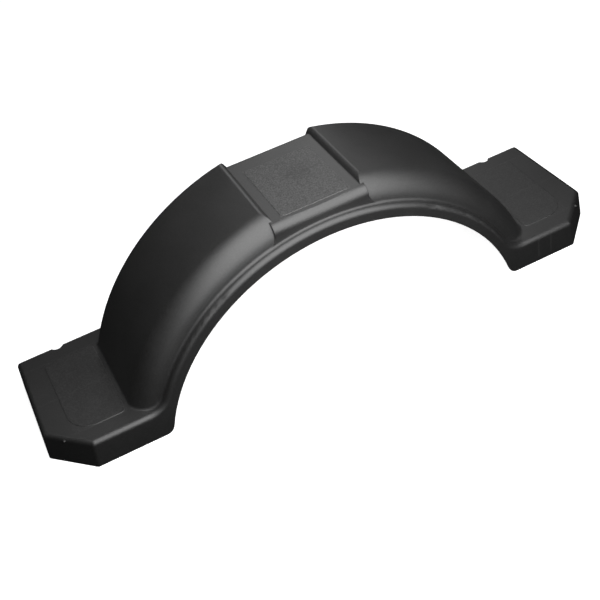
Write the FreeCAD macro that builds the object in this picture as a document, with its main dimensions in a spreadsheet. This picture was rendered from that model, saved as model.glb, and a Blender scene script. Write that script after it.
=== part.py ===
"""Moulded plastic trailer fender: an arch over one wheel, a stepping pad on its crown, a step at each end.

The part stands on the lower edges of its skirts. X runs along the trailer, the outboard side faces -Y and
+Z is up. The origin is the middle of its footprint.

The outer form and the hollow under it are two bodies built by the same functions, the hollow set in by the
wall. Cutting one from the other leaves an even shell, open below and towards the wheel.
"""
import FreeCAD, Part
import os

import Sketcher

doc = FreeCAD.newDocument("trailer_fender")

# Driving dimensions, in millimetres and degrees
DIMENSIONS = {
    "width": 244,                # inboard edge of the steps to the outboard skirt
    "wall": 4,                   # moulded wall all over
    "half_length": 488.5,        # middle to the end edge, at the top of a step
    "end_skew": 6,               # the end edge comes in by this much at its inboard corner
    "step_height": 50,           # depth of the skirts round a step
    "corner_cut": 63,            # slanted outboard corner of a step
    "draft_angle": 5,            # the end and corner skirts flare out downwards by this angle
    "step_edge": 7.5,            # rounding along the top of the skirts
    "step_corner": 6,            # rounding of the upright corners
    "axle_drop": 85,             # wheel axis below the skirts' lower edge
    "arch_radius": 378,          # top of the arch from the wheel axis
    "arch_height": 38,           # top of the arch above the narrow ledge round its outboard side
    "band_height": 21,           # ledge above the wheel opening in the outboard skirt
    "opening_corner": 16,        # rounding where the opening meets the lower edge
    "flange_width": 12,          # ledge from its edge to the arch's side
    "flange_blend": 35,          # sweep from the ledge into the top of a step
    "arch_setback": 38,          # inboard face of the arch from the inboard edge of the steps
    "arch_edge": 5,              # rounding of the arch's inboard edge
    "shoulder_radius": 38,       # rounding of the arch's outboard edge
    "side_draft": 10,            # lean of the arch's side above the ledge
    "foot_radius": 4,            # hollow rounding where the arch rises from the ledge and the steps
    "lip_depth": 28,             # turned-down inboard edge of the arch
    "pad_drop": 15.5,            # stepping pad below the crown
    "pad_length": 144,           # flat of the pad between the walls at its ends
    "pad_reach": 5,              # the pad's front edge runs on past those walls
    "pad_front_radius": 13,      # rounding of the pad's outboard edge
    "pad_edge": 12,              # rounding of the pad's inboard edge
    "pad_spread": 22,            # the pad's front wall spreads by this much down to the ledge
    "recess_slope": 30,          # the walls at the pad's ends lean back by this angle
    "recess_edge": 9,            # rounding along the top of those walls
    "recess_roll": 9,            # that rounding rolls over onto the arch by this angle past level
    "inboard_skirt": 20,         # depth of the steps' inboard skirt
    "corner_post": 12,           # full-depth stretch of that skirt next to the end skirt
    "notch_place": 413,          # half-round notch in a step's inboard edge, from the middle
    "notch_radius": 10.5,
    "rib_thickness": 3,          # stiffening ribs under the steps
    "rib_depth": 24,
    "rib_margin": 34,            # outer ribs from the inboard edge and the outboard skirt
    "tread_rise": 0.6,           # raised panels that carry the tread grain
    "tread_margin": 35,          # step panel from the inboard edge and the outboard skirt
    "tread_end": 44,             # step panel from the end edge
    "tread_foot": 8,             # step panel from the arch
    "tread_sweep": 40,           # large outboard corner of a step panel
    "tread_corner": 8,           # its other corners, and the corners of the pad's panel
    "pad_tread_length": 112,
    "pad_tread_front": 17,       # pad panel from the pad's outboard face
    "pad_tread_back": 38,        # pad panel from the pad's inboard face
}

# Sizes that follow from the driving dimensions
DERIVED = {
    "flange_radius": "=arch_radius - arch_height",
    "opening_radius": "=flange_radius - band_height",
}


def fill_sheet():
    """Keep the dimensions in the document's spreadsheet, one alias each."""
    dims = doc.addObject("Spreadsheet::Sheet", "dims")
    for row, (name, size) in enumerate({**DIMENSIONS, **DERIVED}.items(), start=1):
        dims.set(f"A{row}", name)
        dims.set(f"B{row}", str(size))
        dims.setAlias(f"B{row}", name)
    doc.recompute()
    return dims


sheet = fill_sheet()


def size_of(expression):
    """Value of an expression over the sheet's dimensions."""
    return float(sheet.evalExpression(expression))


# Sketch helpers

def origin_plane(body, role):
    return next(item for item in body.Origin.OriginFeatures if item.Role == role)


def new_sketch(body, name, role, shift=None):
    """Sketch on one of the body's origin planes, shifted along the sketch's own axes."""
    sketch = body.newObject("Sketcher::SketchObject", f"{body.Name}_{name}_sketch")
    sketch.AttachmentSupport = [(origin_plane(body, role), "")]
    sketch.MapMode = "FlatFace"
    for axis, expression in (shift or {}).items():
        sketch.setExpression(f"AttachmentOffset.Base.{axis}", expression)
    return sketch


def arc_between(start, end, radius, turn):
    """Arc of under half a turn from start to end; turn is 1 for anticlockwise, -1 for clockwise."""
    chord = end - start
    rise = (radius ** 2 - (chord.Length / 2) ** 2) ** 0.5
    side = FreeCAD.Vector(-chord.y, chord.x, 0).normalize()
    centre = start + chord * 0.5 + side * (rise * turn)
    along = FreeCAD.Vector(1, 0, 0)
    angles = []
    for point in (start, end)[::turn]:
        angle = along.getAngle(point - centre)
        angles.append(angle if point.y >= centre.y else -angle)
    circle = Part.Circle(centre, FreeCAD.Vector(0, 0, 1), radius)
    return Part.ArcOfCircle(circle, *angles)


def bind(sketch, name, expression, *constraint):
    """Add a dimension to a sketch and tie it to an expression."""
    number = sketch.addConstraint(Sketcher.Constraint(*constraint, size_of(expression)))
    sketch.renameConstraint(number, name)
    sketch.setExpression(f"Constraints.{name}", expression)


def draw_outline(sketch, corners):
    """Closed outline through corners given as expressions.

    A corner is (x, y) where a straight line leaves it, or (x, y, radius, turn) where an arc does.
    """
    points = [FreeCAD.Vector(size_of(corner[0]), size_of(corner[1]), 0) for corner in corners]
    ends = []
    for index, corner in enumerate(corners):
        start = points[index]
        end = points[(index + 1) % len(points)]
        turn = 1
        curve = Part.LineSegment(start, end)
        if len(corner) > 2:
            turn = corner[3]
            curve = arc_between(start, end, size_of(corner[2]), turn)
        ends.append((sketch.addGeometry(curve, False), *(1, 2)[::turn]))
    for index, (edge, begin, _) in enumerate(ends):
        last_edge, _, finish = ends[index - 1]
        sketch.addConstraint(Sketcher.Constraint("Coincident", last_edge, finish, edge, begin))
    for corner, (edge, begin, _) in zip(corners, ends):
        bind(sketch, f"across_{edge}", corner[0], "DistanceX", -1, 1, edge, begin)
        bind(sketch, f"up_{edge}", corner[1], "DistanceY", -1, 1, edge, begin)
        if len(corner) > 2:
            bind(sketch, f"radius_{edge}", corner[2], "Radius", edge)


def extrude(body, kind, name, sketch, length=None, inward=False, both_ways=False):
    """Pad or Pocket of a sketch by an expression, or through everything when there is none."""
    feature = body.newObject(f"PartDesign::{kind}", f"{body.Name}_{name}")
    feature.Profile = sketch
    feature.Reversed = inward
    feature.Midplane = both_ways
    if length is None:
        feature.Type = "ThroughAll"
    else:
        feature.setExpression("Length", length)
    doc.recompute()
    return feature


# Expressions that several features share

FLUSH = "0"
AXLE = "dims.axle_drop"
HALF_WIDTH = "(dims.width / 2)"
CROWN = f"(dims.arch_radius - {AXLE})"
ARCH_INBOARD = f"({HALF_WIDTH} - dims.arch_setback)"
ARCH_FOOT = f"sqrt(dims.arch_radius ^ 2 - (dims.step_height + {AXLE}) ^ 2)"
DRAFT = "(dims.side_draft * 1 deg)"
FLARE = "(dims.draft_angle * 1 deg)"
SLOPE = "(dims.recess_slope * 1 deg)"
ROLL = "(dims.recess_roll * 1 deg)"
SHOULDER_LEVEL = "(dims.arch_radius - dims.shoulder_radius)"
SHOULDER_PLACE = (
    f"(-{HALF_WIDTH} + dims.flange_width + dims.shoulder_radius * cos({DRAFT})"
    f" + ({SHOULDER_LEVEL} + dims.shoulder_radius * sin({DRAFT}) - dims.flange_radius) * tan({DRAFT}))"
)


Y_AXIS = FreeCAD.Vector(0, 1, 0)
Z_AXIS = FreeCAD.Vector(0, 0, 1)


def is_plane(face, normal, place):
    """Whether a face is flat, faces along a unit axis and lies at a place on that axis."""
    plane = face.findPlane()
    if plane is None:
        return False
    parallel = plane.Axis.cross(normal).Length < 1e-4
    return parallel and abs(face.CenterOfMass.dot(normal) - place) < 1e-4


# Features of the form, each set in by an expression

def add_steps(body, inset):
    """Slab whose two ends are the steps, with cut-off outboard corners and skirts flared by a draft."""
    sketch = new_sketch(body, "slab", "XY_Plane", {"z": f"-{inset}"})
    flare = f"({inset} * (tan({FLARE}) - 1))"
    inboard = f"({HALF_WIDTH} - {inset})"
    outboard = f"(-{HALF_WIDTH} + {inset})"
    cut_x = f"(dims.half_length - dims.corner_cut + {inset} + {flare} * sqrt(2))"
    corner_x = f"(dims.half_length + {flare})"
    corner_y = f"(-{HALF_WIDTH} + dims.corner_cut + {flare} * (1 - sqrt(2)))"
    skew = f"(dims.end_skew / (dims.width - dims.corner_cut) * ({inboard} - {corner_y}))"
    end_x = f"({corner_x} - {skew})"
    draw_outline(sketch, [
        (cut_x, outboard),
        (corner_x, corner_y),
        (end_x, inboard),
        (f"-{end_x}", inboard),
        (f"-{corner_x}", corner_y),
        (f"-{cut_x}", outboard),
    ])
    slab = extrude(body, "Pad", "slab", sketch, "dims.step_height")
    flared = []
    level = None
    for index, face in enumerate(slab.Shape.Faces, start=1):
        if abs(face.normalAt(0, 0).x) > 0.5:
            flared.append(f"Face{index}")
        if is_plane(face, Z_AXIS, size_of(f"dims.step_height - {inset}")):
            level = f"Face{index}"
    draft = body.newObject("PartDesign::Draft", f"{body.Name}_steps")
    draft.Base = (slab, flared)
    draft.NeutralPlane = (slab, [level])
    draft.setExpression("Angle", "dims.draft_angle")
    doc.recompute()
    return draft


def add_arch(body, inset):
    """Revolve the arch's section about the wheel axis, down into the slab of the steps."""
    sketch = new_sketch(body, "arch", "YZ_Plane", {"y": f"-{AXLE}"})
    inner = f"(dims.step_height + {AXLE} - 2 * dims.wall)"
    inboard = f"({ARCH_INBOARD} - {inset})"
    top = f"(dims.arch_radius - {inset})"
    shoulder = f"(dims.shoulder_radius - {inset})"
    side_top = f"({SHOULDER_PLACE} - {shoulder} * cos({DRAFT}))"
    side_top_level = f"({SHOULDER_LEVEL} + {shoulder} * sin({DRAFT}))"
    ledge = f"(dims.flange_radius - {inset})"
    side_foot = f"({side_top} - ({side_top_level} - {ledge}) * tan({DRAFT}))"
    inboard_corner = [(inboard, top)]
    if inset == FLUSH:
        inboard_corner = [
            (inboard, f"{top} - dims.arch_edge", "dims.arch_edge", 1),
            (f"{inboard} - dims.arch_edge", top),
        ]
    draw_outline(sketch, [
        (side_foot, inner),
        (inboard, inner),
        *inboard_corner,
        (SHOULDER_PLACE, top, shoulder, 1),
        (side_top, side_top_level),
        (side_foot, ledge),
    ])
    arch = body.newObject("PartDesign::Revolution", f"{body.Name}_arch")
    arch.Profile = sketch
    arch.ReferenceAxis = (sketch, ["H_Axis"])
    arch.Midplane = True
    arch.setExpression("Angle", f"2 * acos((dims.step_height / 2 + {AXLE}) / dims.arch_radius)")
    doc.recompute()
    return arch


def add_ledge(body, inset):
    """Narrow ledge round the arch's outboard side, swept into the level of the steps at both ends."""
    sketch = new_sketch(body, "ledge", "XZ_Plane", {"z": f"{HALF_WIDTH} - {inset}"})
    ledge = f"(dims.flange_radius - {inset})"
    blend = f"(dims.flange_blend + {inset})"
    step_top = f"(dims.step_height - {inset})"
    reach = f"({ledge} + {blend})"
    rise = f"({step_top} + {blend} + {AXLE})"
    foot = f"sqrt({reach} ^ 2 - {rise} ^ 2)"
    meet = f"({foot} * {ledge} / {reach})"
    meet_level = f"({rise} * {ledge} / {reach} - {AXLE})"
    draw_outline(sketch, [
        (foot, f"-{inset}"),
        (foot, step_top, blend, -1),
        (meet, meet_level, ledge, 1),
        (f"-{meet}", meet_level, blend, -1),
        (f"-{foot}", step_top),
        (f"-{foot}", f"-{inset}"),
    ])
    depth = f"dims.flange_width + dims.shoulder_radius - {inset}"
    return extrude(body, "Pad", "ledge", sketch, depth, True)


def pad_level(inset):
    return f"({CROWN} - dims.pad_drop - {inset})"


def add_recess(body, inset):
    """Cut the crown down to the level of the stepping pad, between two leaning walls with rounded tops.

    The rounding of a wall's top rolls over until it meets the surface of the arch.
    """
    sketch = new_sketch(body, "recess", "XZ_Plane")
    level = pad_level(inset)
    half = f"(dims.pad_length / 2 + {inset} * (1 - sin({SLOPE})) / cos({SLOPE}))"
    radius = f"(dims.recess_edge - {inset})"
    arch = f"(dims.arch_radius - {inset})"
    lean = f"(1 / tan({SLOPE}))"
    across = f"({radius} * (cos({SLOPE}) + sin({ROLL})))"
    rise = f"({radius} * (cos({ROLL}) - sin({SLOPE})))"
    start = f"({level} + {rise} + {AXLE} - ({half} + {across}) * {lean})"
    rim = f"((sqrt({arch} ^ 2 * (1 + {lean} ^ 2) - {start} ^ 2) - {start} * {lean}) / (1 + {lean} ^ 2))"
    rim_level = f"(sqrt({arch} ^ 2 - {rim} ^ 2) - {AXLE})"
    wall_top = f"({rim} - {across})"
    wall_level = f"({rim_level} - {rise})"
    above = f"({CROWN} + dims.arch_edge)"
    draw_outline(sketch, [
        (f"-{half}", level),
        (half, level),
        (wall_top, wall_level, radius, -1),
        (rim, rim_level),
        (rim, above),
        (f"-{rim}", above),
        (f"-{rim}", rim_level, radius, -1),
        (f"-{wall_top}", wall_level),
    ])
    return extrude(body, "Pocket", "recess", sketch, None, both_ways=True)


def add_pad_front(body, inset):
    """Square the arch's shoulder up to a rounded front edge along the pad."""
    sketch = new_sketch(body, "pad_front", "YZ_Plane")
    level = pad_level(inset)
    front = f"(-{HALF_WIDTH} + dims.flange_width + {inset})"
    radius = f"(dims.pad_front_radius - {inset})"
    foot = f"(dims.flange_radius - {AXLE} - dims.pad_spread)"
    draw_outline(sketch, [
        (front, foot),
        (SHOULDER_PLACE, foot),
        (SHOULDER_PLACE, level),
        (f"{front} + {radius}", level, radius, 1),
        (front, f"{level} - {radius}"),
    ])
    length = f"dims.pad_length + 2 * (dims.pad_reach - {inset})"
    return extrude(body, "Pad", "pad_front", sketch, length, both_ways=True)


def add_pad_spread(body, inset):
    """Spread the foot of the pad's front wall along the ledge on a hollow curve."""
    front = f"(-{HALF_WIDTH} + dims.flange_width + {inset})"
    sketch = new_sketch(body, "pad_spread", "XZ_Plane", {"z": f"-{front}"})
    half = f"(dims.pad_length / 2 + dims.pad_reach - {inset})"
    level = f"({CROWN} - dims.pad_drop - dims.pad_front_radius)"
    toe = "(dims.pad_length / 2 + dims.pad_spread)"
    toe_level = f"(sqrt((dims.flange_radius - {inset}) ^ 2 - {toe} ^ 2) - {AXLE})"
    run = f"({toe} - {half})"
    fall = f"({level} - {toe_level})"
    radius = f"(({run} ^ 2 + {fall} ^ 2) / (2 * {run}))"
    foot = f"({toe_level} - dims.wall)"
    draw_outline(sketch, [
        (half, level, radius, 1),
        (toe, toe_level),
        (toe, foot),
        (f"-{toe}", foot),
        (f"-{toe}", toe_level, radius, 1),
        (f"-{half}", level),
    ])
    return extrude(body, "Pad", "pad_spread", sketch, f"{SHOULDER_PLACE} - {front}", True)


# Rounded edges, found by the faces that they part

def is_round(face, radius):
    return isinstance(face.Surface, Part.Cylinder) and abs(face.Surface.Radius - radius) < 1e-4


def edges_between(shape, one_side, other_side):
    """Names of the edges that part a face of one kind from a face of another."""
    names = []
    for index, edge in enumerate(shape.Edges, start=1):
        faces = shape.ancestorsOfType(edge, Part.Face)
        if len(faces) != 2:
            continue
        for first, second in (faces, faces[::-1]):
            if one_side(first) and other_side(second):
                names.append(f"Edge{index}")
                break
    return names


def add_fillet(body, name, edges, radius):
    base = body.Tip
    fillet = body.newObject("PartDesign::Fillet", f"{body.Name}_{name}")
    fillet.Base = (base, edges)
    fillet.setExpression("Radius", radius)
    doc.recompute()
    return fillet


def is_top(face):
    """Top of a step, or the ledge and its sweeps."""
    level = is_plane(face, Z_AXIS, size_of("dims.step_height"))
    sizes = (size_of("dims.flange_radius"), size_of("dims.flange_blend"))
    return level or any(is_round(face, size) for size in sizes)


def is_arch(face):
    """Arch's top, rounded edges, side and inboard face."""
    if isinstance(face.Surface, (Part.Toroid, Part.Cone)):
        return True
    inboard = is_plane(face, Y_AXIS, size_of(ARCH_INBOARD))
    return inboard or is_round(face, size_of("dims.arch_radius"))


def is_skirt(face):
    """Outer face of a skirt."""
    plane = face.findPlane()
    if plane is None:
        return False
    half_width = size_of(HALF_WIDTH)
    if is_plane(face, Y_AXIS, half_width) or is_plane(face, Y_AXIS, -half_width):
        return True
    upright = abs(plane.Axis.z) < 0.5
    return upright and abs(face.CenterOfMass.x) > size_of("dims.half_length - dims.corner_cut")


def add_pad_edge(body, inset):
    """Round the pad's inboard edge."""
    level = size_of(pad_level(inset))
    inboard = size_of(f"{ARCH_INBOARD} - {inset}")
    edges = edges_between(
        body.Shape,
        lambda face: is_plane(face, Z_AXIS, level),
        lambda face: is_plane(face, Y_AXIS, inboard),
    )
    return add_fillet(body, "pad_edge", edges, f"dims.pad_edge - {inset}")


# Features of the finished shell

def add_rib_slots(body):
    """Leave the hollow out where the three stiffening ribs run along the underside of each step."""
    places = {
        "inboard": f"{HALF_WIDTH} - dims.rib_margin",
        "middle": "0",
        "outboard": f"-{HALF_WIDTH} + dims.rib_margin",
    }
    low = "(dims.step_height - dims.wall - dims.rib_depth)"
    high = "dims.step_height"
    far = "(dims.half_length + dims.step_height)"
    for name, place in places.items():
        sketch = new_sketch(body, f"{name}_rib", "XZ_Plane", {"z": f"-({place})"})
        for side in ("", "-"):
            near_x = f"{side}{ARCH_FOOT}"
            far_x = f"{side}{far}"
            draw_outline(sketch, [(near_x, low), (far_x, low), (far_x, high), (near_x, high)])
        extrude(body, "Pocket", f"{name}_rib", sketch, "dims.rib_thickness", both_ways=True)


def cut_hollow(body, hollow):
    """Take the hollow out of the outer form."""
    shell = body.newObject("PartDesign::Boolean", f"{body.Name}_shell")
    shell.Type = "Cut"
    shell.Group = [hollow]
    body.Tip = shell
    doc.recompute()
    return shell


def cut_opening(body):
    """Wheel opening, rounded where it meets the lower edge of the skirts."""
    sketch = new_sketch(body, "opening", "XZ_Plane")
    reach = "(dims.opening_radius + dims.opening_corner)"
    rise = f"(dims.opening_corner + {AXLE})"
    toe = f"sqrt({reach} ^ 2 - {rise} ^ 2)"
    meet = f"({toe} * dims.opening_radius / {reach})"
    meet_level = f"({rise} * dims.opening_radius / {reach} - {AXLE})"
    draw_outline(sketch, [
        (toe, f"-{AXLE}"),
        (toe, "0", "dims.opening_corner", -1),
        (meet, meet_level, "dims.opening_radius", 1),
        (f"-{meet}", meet_level, "dims.opening_corner", -1),
        (f"-{toe}", "0"),
        (f"-{toe}", f"-{AXLE}"),
    ])
    return extrude(body, "Pocket", "opening", sketch, None, both_ways=True)


def cut_lip(body):
    """Trim the arch's inboard face to a turned-down lip, and the steps' inboard strip with it."""
    sketch = new_sketch(body, "lip", "XZ_Plane", {"z": f"dims.wall - {ARCH_INBOARD}"})
    radius = "(dims.arch_radius - dims.lip_depth)"
    reach = f"sqrt({radius} ^ 2 - ({AXLE} - dims.wall) ^ 2)"
    draw_outline(sketch, [
        (f"-{reach}", "-dims.wall"),
        (reach, "-dims.wall", radius, 1),
    ])
    return extrude(body, "Pocket", "lip", sketch, "dims.arch_setback + 2 * dims.wall")


def cut_inboard_skirts(body):
    """Shorten the steps' inboard skirts, apart from a post at each end."""
    sketch = new_sketch(body, "inboard_skirts", "XZ_Plane", {"z": f"-{HALF_WIDTH}"})
    near = "(dims.opening_radius - dims.lip_depth)"
    far = "(dims.half_length - dims.end_skew - dims.corner_post)"
    low = "-dims.wall"
    high = "(dims.step_height - dims.inboard_skirt)"
    for side in ("", "-"):
        near_x = f"{side}{near}"
        far_x = f"{side}{far}"
        draw_outline(sketch, [(near_x, low), (far_x, low), (far_x, high), (near_x, high)])
    return extrude(body, "Pocket", "inboard_skirts", sketch, "dims.wall", True)


def cut_notches(body):
    """Half-round notch in each step's inboard edge."""
    sketch = new_sketch(body, "notches", "XY_Plane")
    for name, place in (("right", "dims.notch_place"), ("left", "-dims.notch_place")):
        centre = FreeCAD.Vector(size_of(place), size_of(HALF_WIDTH), 0)
        circle = Part.Circle(centre, Z_AXIS, size_of("dims.notch_radius"))
        edge = sketch.addGeometry(circle, False)
        bind(sketch, f"{name}_across", place, "DistanceX", -1, 1, edge, 3)
        bind(sketch, f"{name}_up", HALF_WIDTH, "DistanceY", -1, 1, edge, 3)
        bind(sketch, f"{name}_radius", "dims.notch_radius", "Radius", edge)
    return extrude(body, "Pocket", "notches", sketch, None, both_ways=True)


def add_step_treads(body):
    """Raised panel on each step, with one large corner that follows the slanted skirt."""
    sketch = new_sketch(body, "step_treads", "XY_Plane", {"z": "dims.step_height"})
    near = f"({ARCH_FOOT} + dims.tread_foot)"
    far = "(dims.half_length - dims.tread_end)"
    low = f"(-{HALF_WIDTH} + dims.tread_margin)"
    high = f"({HALF_WIDTH} - dims.tread_margin)"
    small = "dims.tread_corner"
    large = "dims.tread_sweep"
    for side, turn in (("", 1), ("-", -1)):
        draw_outline(sketch, [
            (f"{side}({near} + {small})", low),
            (f"{side}({far} - {large})", low, large, turn),
            (f"{side}{far}", f"{low} + {large}"),
            (f"{side}{far}", f"{high} - {small}", small, turn),
            (f"{side}({far} - {small})", high),
            (f"{side}({near} + {small})", high, small, turn),
            (f"{side}{near}", f"{high} - {small}"),
            (f"{side}{near}", f"{low} + {small}", small, turn),
        ])
    return extrude(body, "Pad", "step_treads", sketch, "dims.tread_rise")


def add_pad_tread(body):
    """Raised panel on the stepping pad."""
    sketch = new_sketch(body, "pad_tread", "XY_Plane", {"z": pad_level("0")})
    half = "(dims.pad_tread_length / 2)"
    low = f"(-{HALF_WIDTH} + dims.flange_width + dims.pad_tread_front)"
    high = f"({ARCH_INBOARD} - dims.pad_tread_back)"
    small = "dims.tread_corner"
    draw_outline(sketch, [
        (f"-{half} + {small}", low),
        (f"{half} - {small}", low, small, 1),
        (half, f"{low} + {small}"),
        (half, f"{high} - {small}", small, 1),
        (f"{half} - {small}", high),
        (f"-{half} + {small}", high, small, 1),
        (f"-{half}", f"{high} - {small}"),
        (f"-{half}", f"{low} + {small}", small, 1),
    ])
    return extrude(body, "Pad", "pad_tread", sketch, "dims.tread_rise")


def build_outer():
    """Outer form of the fender, with its rounded edges."""
    body = doc.addObject("PartDesign::Body", "fender")
    add_steps(body, FLUSH)
    add_arch(body, FLUSH)
    add_ledge(body, FLUSH)
    add_fillet(body, "foot", edges_between(body.Shape, is_top, is_arch), "dims.foot_radius")
    add_fillet(body, "corners", edges_between(body.Shape, is_skirt, is_skirt), "dims.step_corner")
    add_fillet(body, "rim", edges_between(body.Shape, is_top, is_skirt), "dims.step_edge")
    add_recess(body, FLUSH)
    add_pad_front(body, FLUSH)
    add_pad_spread(body, FLUSH)
    add_pad_edge(body, FLUSH)
    return body


def build_hollow():
    """Space under the fender, set in by the wall, with slots that leave the ribs standing."""
    body = doc.addObject("PartDesign::Body", "hollow")
    for add in (add_steps, add_arch, add_ledge, add_recess, add_pad_front, add_pad_spread, add_pad_edge):
        add(body, "dims.wall")
    add_rib_slots(body)
    return body


def build_fender():
    body = build_outer()
    cut_hollow(body, build_hollow())
    cut_opening(body)
    cut_lip(body)
    cut_inboard_skirts(body)
    cut_notches(body)
    add_step_treads(body)
    add_pad_tread(body)
    return body


def check(body):
    """Stop when any feature failed or the finished piece isn't one sound solid."""
    failed = [item.Label for item in doc.Objects if {"Invalid", "Error"} & set(item.State)]
    if failed:
        raise RuntimeError(f"features that failed: {failed}")
    if body.Shape.isNull() or not body.Shape.isValid() or len(body.Shape.Solids) != 1:
        raise RuntimeError(f"{body.Label} isn't one sound solid")


fender = build_fender()
check(fender)
os.makedirs("parts", exist_ok=True)
fender.Shape.exportStep(f"parts/{fender.Label}.step")
box = fender.Shape.optimalBoundingBox()
print(f"{fender.Label}: {box.XLength:.1f} x {box.YLength:.1f} x {box.ZLength:.1f} mm,"
      f" {fender.Shape.Volume / 1000:.0f} cm3")
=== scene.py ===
"""A moulded black plastic trailer fender on a white studio floor. Lengths are in metres."""
import math

import bpy
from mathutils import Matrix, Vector


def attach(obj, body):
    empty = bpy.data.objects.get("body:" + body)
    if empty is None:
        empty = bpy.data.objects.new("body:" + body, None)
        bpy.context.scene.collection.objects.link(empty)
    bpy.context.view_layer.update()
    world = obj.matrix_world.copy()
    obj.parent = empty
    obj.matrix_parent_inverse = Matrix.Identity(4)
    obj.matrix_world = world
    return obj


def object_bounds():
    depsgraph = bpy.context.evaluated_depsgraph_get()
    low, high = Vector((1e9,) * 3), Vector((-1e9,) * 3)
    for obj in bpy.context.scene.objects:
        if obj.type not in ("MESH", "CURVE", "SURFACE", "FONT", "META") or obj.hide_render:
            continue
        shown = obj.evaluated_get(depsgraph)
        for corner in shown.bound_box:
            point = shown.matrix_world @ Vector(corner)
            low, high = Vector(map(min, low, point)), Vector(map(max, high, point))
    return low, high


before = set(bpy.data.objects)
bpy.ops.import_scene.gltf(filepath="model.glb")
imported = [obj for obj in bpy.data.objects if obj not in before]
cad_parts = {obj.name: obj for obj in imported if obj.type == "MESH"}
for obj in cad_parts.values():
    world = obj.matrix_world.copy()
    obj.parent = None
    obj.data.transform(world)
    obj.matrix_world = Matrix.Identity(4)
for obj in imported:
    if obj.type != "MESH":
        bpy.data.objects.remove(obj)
cad_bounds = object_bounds()
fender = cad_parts["fender"]
low_corner, high_corner = (Vector(corner) for corner in cad_bounds)

# The black plastic, and the softening of its edges
BASE_SHADE = 0.007
DARKEST_SHADE = 0.002
BASE_ROUGHNESS = 0.465
EDGE_ROUNDING = 0.0025
PANEL_ROUNDING = 0.0012

# How white the floor and the backdrop are by themselves
GROUND_WHITE = 0.85

# Places on the fender, in the frame of the part
STEP_TOP = 0.050
STEP_START = 0.355
RIB_PLACES = (-0.088, 0.0, 0.088)
RIB_SINK_WIDTH = 0.0012
STEP_PANEL_MIDDLE = (0.402, 0.0)
STEP_PANEL_HALF = (0.042, 0.087)
PAD_LEVEL = 0.2775
PAD_PANEL_MIDDLE = (0.0, -0.0235)
PAD_PANEL_HALF = (0.056, 0.0695)
PAD_SMUDGE = (0.012, -0.008, PAD_LEVEL)
SPECKS = ((-0.1166, 0.0422, 0.2745), (0.0699, -0.0289, PAD_LEVEL))
SKIRT_SCRATCHES = (0.362, 0.386)
GATE_NUB = (0.4622, -0.0862, 0.0455)


class Graph:
    """Node tree of a material, with short forms for the arithmetic of its masks."""

    def __init__(self, name):
        self.material = bpy.data.materials.new(name)
        self.material.use_nodes = True
        self.tree = self.material.node_tree
        self.tree.nodes.clear()
        self.output = self.tree.nodes.new("ShaderNodeOutputMaterial")

    def node(self, kind, **inputs):
        """A node whose inputs are set to values or linked to other nodes' outputs."""
        node = self.tree.nodes.new(kind)
        for name, value in inputs.items():
            self.feed(node.inputs[name.replace("_", " ")], value)
        return node

    def feed(self, socket, value):
        if isinstance(value, bpy.types.NodeSocket):
            self.tree.links.new(value, socket)
        else:
            socket.default_value = value

    def math(self, operation, *values):
        node = self.tree.nodes.new("ShaderNodeMath")
        node.operation = operation
        for socket, value in zip(node.inputs, values):
            self.feed(socket, value)
        return node.outputs["Value"]

    def product(self, *values):
        total = values[0]
        for value in values[1:]:
            total = self.math("MULTIPLY", total, value)
        return total

    def total(self, *values):
        total = values[0]
        for value in values[1:]:
            total = self.math("ADD", total, value)
        return total

    def blend(self, value, start, end):
        """0 up to start and 1 from end on, smooth in between; start may be above end."""
        node = self.node("ShaderNodeMapRange", Value=value, From_Min=start, From_Max=end)
        node.interpolation_type = "SMOOTHSTEP"
        return node.outputs["Result"]

    def near(self, value, centre, reach, blur):
        """1 within reach of the centre, falling to 0 over the blur."""
        distance = self.math("ABSOLUTE", self.math("SUBTRACT", value, centre))
        return self.blend(distance, reach + blur, reach)

    def around(self, place, centre, reach, blur):
        """1 within reach of a point in space, falling to 0 over the blur."""
        node = self.node("ShaderNodeVectorMath")
        node.operation = "DISTANCE"
        self.feed(node.inputs[0], place)
        self.feed(node.inputs[1], centre)
        return self.blend(node.outputs["Value"], reach + blur, reach)

    def noise(self, place, scale, detail):
        return self.node("ShaderNodeTexNoise", Vector=place, Scale=scale, Detail=detail).outputs["Fac"]


def tread_mask(graph, along, across, up, margin):
    """The panels on the pad and the two steps, with a margin round them."""
    pad = graph.product(
        graph.near(along, PAD_PANEL_MIDDLE[0], PAD_PANEL_HALF[0] + margin, 0.003),
        graph.near(across, PAD_PANEL_MIDDLE[1], PAD_PANEL_HALF[1] + margin, 0.003),
        graph.near(up, PAD_LEVEL, 0.002, 0.001),
    )
    step = graph.product(
        graph.near(graph.math("ABSOLUTE", along), STEP_PANEL_MIDDLE[0], STEP_PANEL_HALF[0] + margin, 0.003),
        graph.near(across, STEP_PANEL_MIDDLE[1], STEP_PANEL_HALF[1] + margin, 0.003),
        graph.near(up, STEP_TOP, 0.002, 0.001),
    )
    return pad, step


def sink_lines(graph, along, across, up):
    """Faint lines on the steps above the ribs that stiffen them."""
    lines = [graph.near(across, place, RIB_SINK_WIDTH, RIB_SINK_WIDTH) for place in RIB_PLACES]
    on_step = graph.blend(graph.math("ABSOLUTE", along), STEP_START, STEP_START + 0.01)
    return graph.product(graph.total(*lines), on_step, graph.near(up, STEP_TOP, 0.004, 0.004))


def skirt_scratches(graph, along, across, up):
    """Two upright scratches on the right-hand outboard skirt."""
    lines = [graph.near(along, place, 0.0004, 0.0008) for place in SKIRT_SCRATCHES]
    on_skirt = graph.blend(across, low_corner.y + 0.006, low_corner.y + 0.003)
    return graph.product(graph.total(*lines), on_skirt, graph.near(up, 0.026, 0.016, 0.004))


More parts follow.
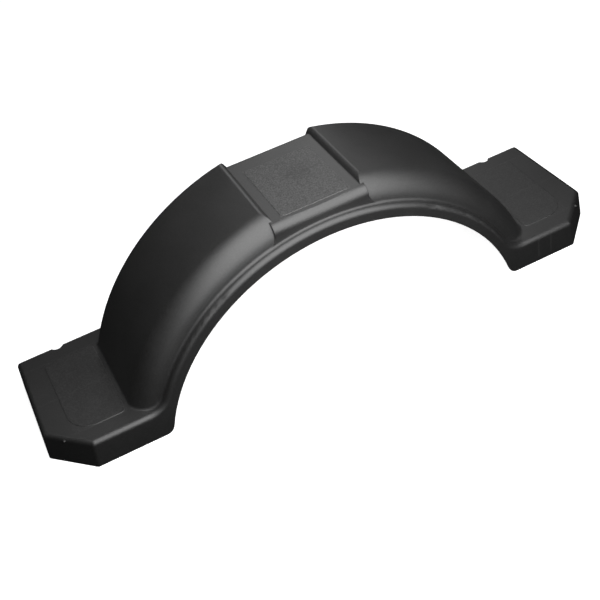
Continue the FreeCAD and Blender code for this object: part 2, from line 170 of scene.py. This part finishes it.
def plastic_material():
    """Satin black plastic: fine mould grain all over, coarser stipple on the panels, light wear, and a
    painted highlight that makes the panel rims paler.
    """
    graph = Graph("black_plastic")
    place = graph.node("ShaderNodeTexCoord").outputs["Object"]
    axes = graph.node("ShaderNodeSeparateXYZ", Vector=place).outputs
    along, across, up = axes["X"], axes["Y"], axes["Z"]
    pad, step = tread_mask(graph, along, across, up, 0.0)
    pad_edges, step_edges = tread_mask(graph, along, across, up, 0.004)
    lines = sink_lines(graph, along, across, up)
    scratches = skirt_scratches(graph, along, across, up)

    grain = graph.noise(place, 1100.0, 2.0)
    stipple = graph.noise(place, 420.0, 1.0)
    stippled = graph.total(pad, graph.product(step, 0.40))
    height = graph.total(
        graph.product(grain, 0.00005),
        graph.product(stipple, stippled, 0.00016),
        graph.product(lines, -0.00006),
        graph.product(scratches, 0.00012),
    )

    # The low rims of the panels are sharper than the other edges, and made paler by a painted highlight
    panel_edges = graph.total(pad_edges, step_edges)
    rounding = graph.total(EDGE_ROUNDING, graph.product(panel_edges, PANEL_ROUNDING - EDGE_ROUNDING))
    rounded = graph.node("ShaderNodeBevel", Radius=rounding)
    upright = graph.node("ShaderNodeSeparateXYZ", Vector=rounded.outputs["Normal"]).outputs["Z"]
    painted_rim_highlight = graph.product(
        graph.blend(upright, 0.998, 0.95), graph.total(pad_edges, graph.product(step_edges, 0.4))
    )
    bump = graph.node(
        "ShaderNodeBump", Height=height, Distance=1.0, Strength=1.0, Normal=rounded.outputs["Normal"]
    )

    cloud = graph.noise(place, 16.0, 3.0)
    mottle = graph.noise(place, 170.0, 3.0)
    fleck = graph.math("SUBTRACT", graph.noise(place, 400.0, 3.0), 0.5)
    specks = [graph.around(place, centre, 0.0006, 0.0006) for centre in SPECKS]
    smudge = graph.product(graph.around(place, PAD_SMUDGE, 0.004, 0.03), graph.blend(mottle, 0.3, 0.6))
    shade = graph.total(
        BASE_SHADE,
        graph.product(cloud, 0.003),
        graph.product(fleck, graph.total(0.025, graph.product(stippled, 0.115))),
        graph.product(pad, 0.013),
        # Painted highlight: the panel rims are made paler in colour
        graph.product(painted_rim_highlight, 0.030),
        graph.product(scratches, 0.020),
        graph.product(lines, 0.003),
        graph.product(smudge, -0.018),
        *[graph.product(speck, -0.012) for speck in specks],
    )
    roughness = graph.total(BASE_ROUGHNESS, graph.product(cloud, 0.08), graph.product(stippled, 0.05))
    shader = graph.node(
        "ShaderNodeBsdfPrincipled",
        Base_Color=graph.math("MAXIMUM", shade, DARKEST_SHADE),
        Roughness=roughness,
        IOR=1.6,
        Specular_IOR_Level=0.92,
        Normal=bump.outputs["Normal"],
    )
    graph.feed(graph.output.inputs["Surface"], shader.outputs["BSDF"])
    return graph.material


def floor_material():
    """White to the camera, apart from the fender's shadow, and dark in the plastic's reflections."""
    graph = Graph("floor")
    glow = graph.node("ShaderNodeEmission", Color=(1.0, 1.0, 1.0, 1.0), Strength=GROUND_WHITE)
    pale = graph.node("ShaderNodeBsdfDiffuse", Color=(0.9, 0.9, 0.9, 1.0))
    lit = graph.tree.nodes.new("ShaderNodeAddShader")
    graph.feed(lit.inputs[0], glow.outputs["Emission"])
    graph.feed(lit.inputs[1], pale.outputs["BSDF"])
    dark = graph.node("ShaderNodeBsdfDiffuse", Color=(0.02, 0.02, 0.02, 1.0))
    ray = graph.tree.nodes.new("ShaderNodeLightPath")
    mix = graph.tree.nodes.new("ShaderNodeMixShader")
    graph.feed(mix.inputs["Fac"], ray.outputs["Is Camera Ray"])
    graph.feed(mix.inputs[1], dark.outputs["BSDF"])
    graph.feed(mix.inputs[2], lit.outputs["Shader"])
    graph.feed(graph.output.inputs["Surface"], mix.outputs["Shader"])
    return graph.material


def add_gate_nubs(plastic):
    """The small nub that the moulding gate leaves below the rim of each slanted corner."""
    for name, side in (("left", -1), ("right", 1)):
        bpy.ops.mesh.primitive_uv_sphere_add(segments=20, ring_count=12, radius=1.0)
        nub = bpy.context.object
        nub.name = f"{name}_gate_nub"
        nub.scale = (0.0026, 0.0026, 0.0014)
        nub.location = (side * GATE_NUB[0], GATE_NUB[1], GATE_NUB[2])
        bpy.ops.object.transform_apply(location=True, scale=True)
        bpy.ops.object.shade_smooth()
        nub.data.materials.append(plastic)
        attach(nub, "root")


def add_floor():
    """A wide floor at the fender's lowest edge."""
    bpy.ops.mesh.primitive_plane_add(size=40.0, location=(0.0, 0.0, low_corner.z))
    floor = bpy.context.object
    floor.name = "floor"
    floor.data.materials.append(floor_material())


def add_softbox(name, location, width, height, power):
    """An area lamp that faces the middle of the fender and doesn't show itself."""
    lamp = bpy.data.lights.new(name, "AREA")
    lamp.shape = "RECTANGLE"
    lamp.size = width
    lamp.size_y = height
    lamp.energy = power
    box = bpy.data.objects.new(name, lamp)
    box.location = location
    middle = (low_corner + high_corner) / 2
    box.rotation_euler = (box.location - middle).to_track_quat("Z", "Y").to_euler()
    box.visible_camera = False
    bpy.context.scene.collection.objects.link(box)


def set_world():
    """White behind everything, and nearly no light from all round."""
    world = bpy.data.worlds.new("studio")
    world.use_nodes = True
    nodes = world.node_tree.nodes
    background = nodes["Background"]
    background.inputs["Color"].default_value = (1.0, 1.0, 1.0, 1.0)
    strength = nodes.new("ShaderNodeMapRange")
    strength.inputs["To Min"].default_value = 0.02
    strength.inputs["To Max"].default_value = GROUND_WHITE
    ray = nodes.new("ShaderNodeLightPath")
    world.node_tree.links.new(ray.outputs["Is Camera Ray"], strength.inputs["Value"])
    world.node_tree.links.new(strength.outputs["Result"], background.inputs["Strength"])
    bpy.context.scene.world = world


def add_camera():
    """The photograph's point of view, with its slight roll."""
    lens = bpy.data.cameras.new("camera")
    lens.sensor_width = 36.0
    lens.lens = 64.27
    camera = bpy.data.objects.new("camera", lens)
    camera.location = (-0.4384, -1.2709, 1.1959)
    camera.rotation_euler = [math.radians(angle) for angle in (48.237, 9.211, -26.144)]
    bpy.context.scene.collection.objects.link(camera)
    bpy.context.scene.camera = camera


plastic = plastic_material()
fender.data.materials.clear()
fender.data.materials.append(plastic)
add_gate_nubs(plastic)
add_floor()
add_softbox("key", (0.02, -0.37, 0.62), 1.1, 1.2, 12.5)
add_softbox("back", (1.05, 2.45, 1.60), 0.42, 1.2, 8.5)
set_world()
add_camera()
bpy.context.scene.view_settings.view_transform = "Standard"
